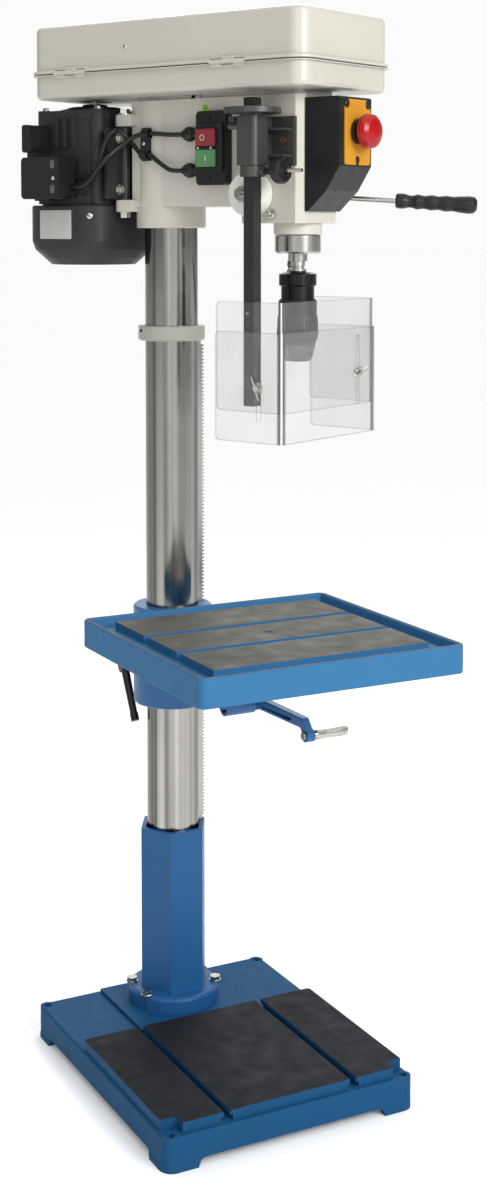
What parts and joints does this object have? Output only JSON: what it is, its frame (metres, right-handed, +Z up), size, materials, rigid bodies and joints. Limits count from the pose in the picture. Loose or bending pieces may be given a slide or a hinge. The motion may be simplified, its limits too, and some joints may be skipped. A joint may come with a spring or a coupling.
{
  "type": "pillar drill",
  "caption": "Floor-standing pillar drill: cast base, round column, crank-raised tray table, swivelling belt-driven head, keyless chuck and clear guard.",
  "frame": {"origin": "centre of the base's four anchor holes, at floor level", "axes": "+Z up, -Y towards the operator's side of the base, +X to the operator's right; the head is turned 25 degrees anticlockwise on the column at rest"},
  "size_m": [0.6413, 0.817, 1.78],
  "materials": {
    "blue_paint": "satin cast blue paint",
    "cream_paint": "satin warm grey paint",
    "black_paint": "satin black paint",
    "bright_steel": "turned and ground steel",
    "plated_steel": "zinc plated",
    "dark_steel": "blackened steel",
    "pulley_alloy": "die cast and turned",
    "black_plastic": "moulded, fine texture",
    "red_plastic": "gloss",
    "green_plastic": "gloss",
    "yellow_plastic": "satin",
    "clear_plastic": "clear polycarbonate",
    "belt_rubber": "moulded rubber"
  },
  "bodies": {
    "stand": {"base": "blue_paint", "pedestal": "blue_paint", "flange_bolts": "plated_steel", "column": "bright_steel", "column_ring": "cream_paint"},
    "rack_bar": {"rack": "bright_steel"},
    "table_group": {"table_bracket": "blue_paint", "table": "blue_paint", "table_bolts": "plated_steel"},
    "table_clamp": {"clamp_lever": "dark_steel"},
    "lift_gearing": {"lift_gear": "bright_steel"},
    "crank": {"crank_shaft": "bright_steel", "crank_arm": "blue_paint"},
    "crank_handle": {"crank_grip": "bright_steel"},
    "head": {"head_casting": "cream_paint", "lug_bolts": "plated_steel", "guard_tray": "cream_paint", "guard_hinges": "plated_steel", "drive_belts": "belt_rubber", "spring_cap": "cream_paint", "return_spring": "bright_steel", "switch_box": "black_plastic", "switch_leads": "black_plastic", "lead_fittings": "black_plastic", "estop_box": "black_plastic", "estop_plate": "yellow_plastic", "guard_bracket": "black_paint"},
    "lid": {"guard_lid": "cream_paint"},
    "motor": {"motor_plate": "black_paint", "motor_housing": "black_paint", "fan_cowl": "black_paint", "terminal_boxes": "black_plastic"},
    "motor_rotor": {"rotor": "bright_steel", "cooling_fan": "black_plastic", "motor_pulley": "pulley_alloy"},
    "idler": {"idler_arm": "bright_steel"},
    "idler_wheel": {"idler_pulley": "pulley_alloy"},
    "spindle_drive": {"spindle_pulley": "pulley_alloy"},
    "quill_slide": {"quill": "bright_steel", "quill_collar": "bright_steel", "quill_bearings": "bright_steel"},
    "spindle_turn": {"spindle": "bright_steel", "chuck_body": "bright_steel"},
    "sleeve": {"chuck_sleeve": "dark_steel"},
    "jaw_1": {"chuck_jaw_1": "bright_steel"},
    "jaw_2": {"chuck_jaw_2": "bright_steel"},
    "jaw_3": {"chuck_jaw_3": "bright_steel"},
    "feed": {"feed_shaft": "bright_steel", "feed_hub": "black_plastic", "feed_rods": "bright_steel", "feed_grips": "black_plastic"},
    "stop_key": {"stop_button": "red_plastic"},
    "start_key": {"start_button": "green_plastic"},
    "estop_key": {"estop_button": "red_plastic"},
    "guard_arm": {"guard_pivot": "black_paint"},
    "guard_slide": {"guard_bar": "black_paint", "upper_panel": "clear_plastic", "wing_nuts": "plated_steel"},
    "guard_screw": {"guard_knob": "black_plastic"},
    "guard_skirt": {"lower_panel": "clear_plastic"}
  },
  "joints": [
    {"name": "table_swing", "type": "hinge", "parent": "stand", "child": "rack_bar", "pos_m": [0, 0.175, 0.7], "axis": [0, 0, 1], "range_deg": [-180, 180]},
    {"name": "table_lift", "type": "slide", "parent": "rack_bar", "child": "table_group", "axis": [0, 0, 1], "range_m": [-0.165, 0.285]},
    {"name": "lift_gear_turn", "type": "hinge", "parent": "table_group", "child": "lift_gearing", "pos_m": [0.069, 0.135, 0.632], "axis": [0, 1, 0], "range_deg": [-1362, 790]},
    {"name": "crank_turn", "type": "hinge", "parent": "table_group", "child": "crank", "pos_m": [0.1, 0.075, 0.606], "axis": [-1, 0, 0], "range_deg": [-14180, 24490]},
    {"name": "crank_grip_turn", "type": "hinge", "parent": "crank", "child": "crank_handle", "pos_m": [0.18, -0.05, 0.574], "axis": [1, 0, 0], "continuous": true},
    {"name": "table_clamp_turn", "type": "hinge", "parent": "table_group", "child": "table_clamp", "pos_m": [0, 0.255, 0.65], "axis": [1, 0, 0], "range_deg": [-5, 75]},
    {"name": "head_swivel", "type": "hinge", "parent": "stand", "child": "head", "pos_m": [0, 0.175, 1.54], "axis": [0, 0, 1], "range_deg": [-70, 20]},
    {"name": "lid_open", "type": "hinge", "parent": "head", "child": "lid", "pos_m": [-0.08486, 0.04937, 1.699], "axis": [0.4226, -0.9063, 0], "range_deg": [0, 100]},
    {"name": "motor_swing", "type": "hinge", "parent": "head", "child": "motor", "pos_m": [-0.07575, 0.20257, 1.545], "axis": [0, 0, 1], "range_deg": [-1, 5], "deforming": ["drive_belts", "switch_leads"]},
    {"name": "motor_spin", "type": "hinge", "parent": "motor", "child": "motor_rotor", "pos_m": [-0.0849, 0.30974, 1.6], "axis": [0, 0, 1], "continuous": true},
    {"name": "idler_swing", "type": "hinge", "parent": "head", "child": "idler", "pos_m": [0.0039, 0.072, 1.64], "axis": [0, 0, 1], "range_deg": [-3, 3], "deforming": ["drive_belts"]},
    {"name": "idler_spin", "type": "hinge", "parent": "idler", "child": "idler_wheel", "pos_m": [0.05043, 0.13783, 1.7], "axis": [0, 0, 1], "continuous": true},
    {"name": "spindle_pulley_spin", "type": "hinge", "parent": "head", "child": "spindle_drive", "pos_m": [0.11411, -0.0697, 1.7], "axis": [0, 0, 1], "continuous": true},
    {"name": "feed_turn", "type": "hinge", "parent": "head", "child": "feed", "pos_m": [0.09467, -0.02801, 1.4895], "axis": [0.9063, 0.4226, 0], "range_deg": [0, 429], "stiffness_Nm_per_rad": 0.3, "springref_deg": -458.37, "deforming": ["return_spring"]},
    {"name": "quill_feed", "type": "slide", "parent": "head", "child": "quill_slide", "axis": [0, 0, -1], "range_m": [0, 0.12]},
    {"name": "spindle_spin", "type": "hinge", "parent": "quill_slide", "child": "spindle_turn", "pos_m": [0.11411, -0.0697, 1.5], "axis": [0, 0, 1], "continuous": true},
    {"name": "chuck_sleeve_turn", "type": "hinge", "parent": "spindle_turn", "child": "sleeve", "pos_m": [0.11411, -0.0697, 1.3], "axis": [0, 0, 1], "range_deg": [0, 1620]},
    {"name": "jaw_1_travel", "type": "slide", "parent": "spindle_turn", "child": "jaw_1", "axis": [0.2498, 0.1165, 0.9613], "range_m": [0, 0.02]},
    {"name": "jaw_2_travel", "type": "slide", "parent": "spindle_turn", "child": "jaw_2", "axis": [-0.2258, 0.1581, 0.9613], "range_m": [0, 0.02]},
    {"name": "jaw_3_travel", "type": "slide", "parent": "spindle_turn", "child": "jaw_3", "axis": [-0.024, -0.2746, 0.9613], "range_m": [0, 0.02]},
    {"name": "stop_press", "type": "slide", "parent": "head", "child": "stop_key", "axis": [0.9063, 0.4226, 0], "range_m": [0, 0.003], "stiffness_N_per_m": 400, "springref_m": -0.003},
    {"name": "start_press", "type": "slide", "parent": "head", "child": "start_key", "axis": [0.9063, 0.4226, 0], "range_m": [0, 0.003], "stiffness_N_per_m": 400, "springref_m": -0.003},
    {"name": "estop_press", "type": "slide", "parent": "head", "child": "estop_key", "axis": [-0.4226, 0.9063, 0], "range_m": [0, 0.005], "stiffness_N_per_m": 800, "springref_m": -0.004},
    {"name": "chuck_guard_swing", "type": "hinge", "parent": "head", "child": "guard_arm", "pos_m": [0.014, -0.09873, 1.575], "axis": [0, 0, 1], "range_deg": [-110, 0]},
    {"name": "chuck_guard_height", "type": "slide", "parent": "guard_arm", "child": "guard_slide", "axis": [0, 0, 1], "range_m": [-0.1, 0.012]},
    {"name": "guard_knob_turn", "type": "hinge", "parent": "guard_arm", "child": "guard_screw", "pos_m": [0.02921, -0.13136, 1.525], "axis": [-0.4226, 0.9063, 0], "range_deg": [0, 180]},
    {"name": "skirt_height", "type": "slide", "parent": "guard_slide", "child": "guard_skirt", "axis": [0, 0, 1], "range_m": [-0.055, 0.05]}
  ],
  "couplings": [
    {"joint": "table_lift", "follows": "crank_turn", "m_per_rad": 0.00066667},
    {"joint": "lift_gear_turn", "follows": "crank_turn", "ratio": -0.055556},
    {"joint": "idler_spin", "follows": "motor_spin", "ratio": 0.6087},
    {"joint": "spindle_pulley_spin", "follows": "motor_spin", "ratio": 0.32126},
    {"joint": "spindle_spin", "follows": "motor_spin", "ratio": 0.32126},
    {"joint": "quill_feed", "follows": "feed_turn", "m_per_rad": 0.016},
    {"joint": "jaw_1_travel", "follows": "chuck_sleeve_turn", "m_per_rad": 0.0007},
    {"joint": "jaw_2_travel", "follows": "chuck_sleeve_turn", "m_per_rad": 0.0007},
    {"joint": "jaw_3_travel", "follows": "chuck_sleeve_turn", "m_per_rad": 0.0007}
  ]
}
